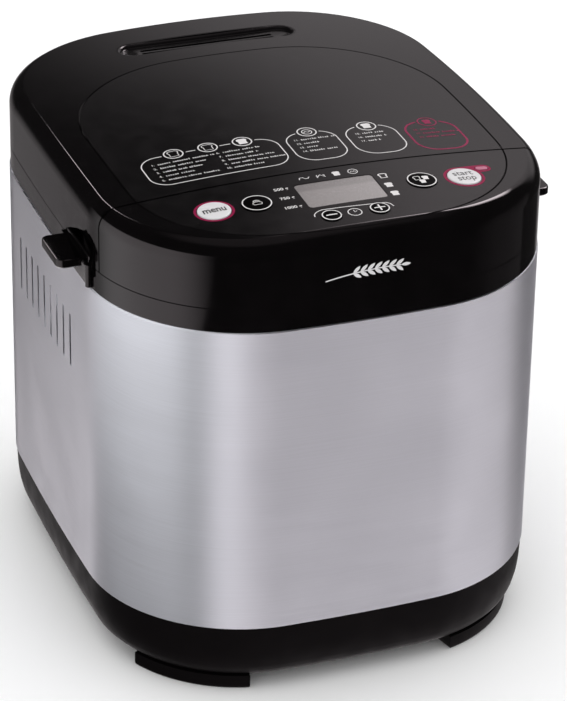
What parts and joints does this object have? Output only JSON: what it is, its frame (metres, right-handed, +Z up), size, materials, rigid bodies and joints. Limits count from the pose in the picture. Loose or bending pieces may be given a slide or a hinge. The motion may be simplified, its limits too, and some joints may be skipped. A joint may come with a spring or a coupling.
{
  "type": "bread machine",
  "caption": "Countertop bread maker with a brushed steel body, black hinged lid, sloped button panel with display, lift-out pan and belt-driven kneading paddle.",
  "frame": {"origin": "centre of the footprint on the plane the rubber feet stand on", "axes": "+Z up, -Y towards the control panel, +X to the right of someone facing the panel"},
  "size_m": [0.299, 0.316, 0.2941],
  "materials": {
    "satin_black": "satin moulded",
    "gloss_black": "polished",
    "rubber": "matte",
    "brushed_steel": "brushed along the wrap",
    "display": "clear window over a grey display",
    "lamp": "translucent",
    "circuit_board": "green laminate",
    "plated_steel": "zinc plated",
    "element_steel": "heat-darkened tube",
    "cast_aluminium": "cast",
    "motor_steel": "laminated stack",
    "liner_aluminium": "pressed sheet",
    "white_silver": "silver-white paint",
    "non_stick": "dark non-stick coating"
  },
  "bodies": {
    "base": {"base_tray": "satin_black", "rubber_foot_front_left": "rubber", "rubber_foot_front_right": "rubber", "rubber_foot_back_left": "rubber", "rubber_foot_back_right": "rubber", "cord_gland": "rubber", "steel_housing": "brushed_steel", "top_frame": "gloss_black", "control_housing": "gloss_black", "control_panel": "gloss_black", "display_window": "display", "display_module": "satin_black", "status_light": "lamp", "control_board": "circuit_board", "oven_chamber": "plated_steel", "heating_element": "element_steel", "element_clip_left": "plated_steel", "element_clip_right": "plated_steel", "temperature_probe": "plated_steel", "pan_socket": "cast_aluminium", "drive_bracket": "plated_steel", "drive_belt": "rubber", "drive_motor": "motor_steel", "motor_capacitor": "cast_aluminium", "power_board": "circuit_board", "transformer": "motor_steel", "relay": "satin_black", "heat_shield": "cast_aluminium"},
    "lid": {"lid_cover": "gloss_black", "lid_panel": "gloss_black", "lid_handle_left": "gloss_black", "lid_handle_right": "gloss_black", "steam_vent": "satin_black", "lid_liner": "liner_aluminium", "hinge_pin_left": "plated_steel", "hinge_pin_right": "plated_steel"},
    "menu_key": {"menu_button": "white_silver"},
    "size_key": {"size_button": "gloss_black"},
    "minus_key": {"minus_button": "gloss_black"},
    "plus_key": {"plus_button": "gloss_black"},
    "crust_key": {"crust_button": "gloss_black"},
    "start_stop_key": {"start_stop_button": "white_silver"},
    "drive": {"large_pulley": "satin_black", "drive_shaft": "plated_steel", "drive_coupling": "cast_aluminium"},
    "rotor": {"motor_rotor": "plated_steel"},
    "pan": {"bread_pan": "non_stick", "pan_skirt": "cast_aluminium"},
    "handle": {"pan_handle": "plated_steel"},
    "paddle": {"pan_spindle": "plated_steel", "kneading_paddle": "non_stick"}
  },
  "joints": [
    {"name": "lid_hinge", "type": "hinge", "parent": "base", "child": "lid", "pos_m": [0, 0.146, 0.266], "axis": [-1, 0, 0], "range_deg": [0, 98]},
    {"name": "menu_press", "type": "slide", "parent": "base", "child": "menu_key", "axis": [0, 0, -1], "range_m": [0, 0.001], "stiffness_N_per_m": 1200, "springref_m": -0.0005},
    {"name": "size_press", "type": "slide", "parent": "base", "child": "size_key", "axis": [0, 0, -1], "range_m": [0, 0.001], "stiffness_N_per_m": 1200, "springref_m": -0.0005},
    {"name": "minus_press", "type": "slide", "parent": "base", "child": "minus_key", "axis": [0, 0, -1], "range_m": [0, 0.001], "stiffness_N_per_m": 1200, "springref_m": -0.0005},
    {"name": "plus_press", "type": "slide", "parent": "base", "child": "plus_key", "axis": [0, 0, -1], "range_m": [0, 0.001], "stiffness_N_per_m": 1200, "springref_m": -0.0005},
    {"name": "crust_press", "type": "slide", "parent": "base", "child": "crust_key", "axis": [0, 0, -1], "range_m": [0, 0.001], "stiffness_N_per_m": 1200, "springref_m": -0.0005},
    {"name": "start_stop_press", "type": "slide", "parent": "base", "child": "start_stop_key", "axis": [0, 0, -1], "range_m": [0, 0.001], "stiffness_N_per_m": 1200, "springref_m": -0.0005},
    {"name": "drive_spin", "type": "hinge", "parent": "base", "child": "drive", "pos_m": [0, 0.03, 0.03], "axis": [0, 0, 1], "continuous": true},
    {"name": "motor_spin", "type": "hinge", "parent": "base", "child": "rotor", "pos_m": [0.054, -0.1, 0.03], "axis": [0, 0, 1], "continuous": true},
    {"name": "pan_lift", "type": "slide", "parent": "base", "child": "pan", "axis": [0, 0, 1], "range_m": [0, 0.015]},
    {"name": "handle_hinge", "type": "hinge", "parent": "pan", "child": "handle", "pos_m": [0, 0.03, 0.2275], "axis": [-1, 0, 0], "range_deg": [0, 20]},
    {"name": "paddle_spin", "type": "hinge", "parent": "pan", "child": "paddle", "pos_m": [0, 0.03, 0.1], "axis": [0, 0, 1], "continuous": true}
  ],
  "couplings": [
    {"joint": "motor_spin", "follows": "drive_spin", "ratio": 5},
    {"joint": "paddle_spin", "follows": "drive_spin", "ratio": 1}
  ]
}
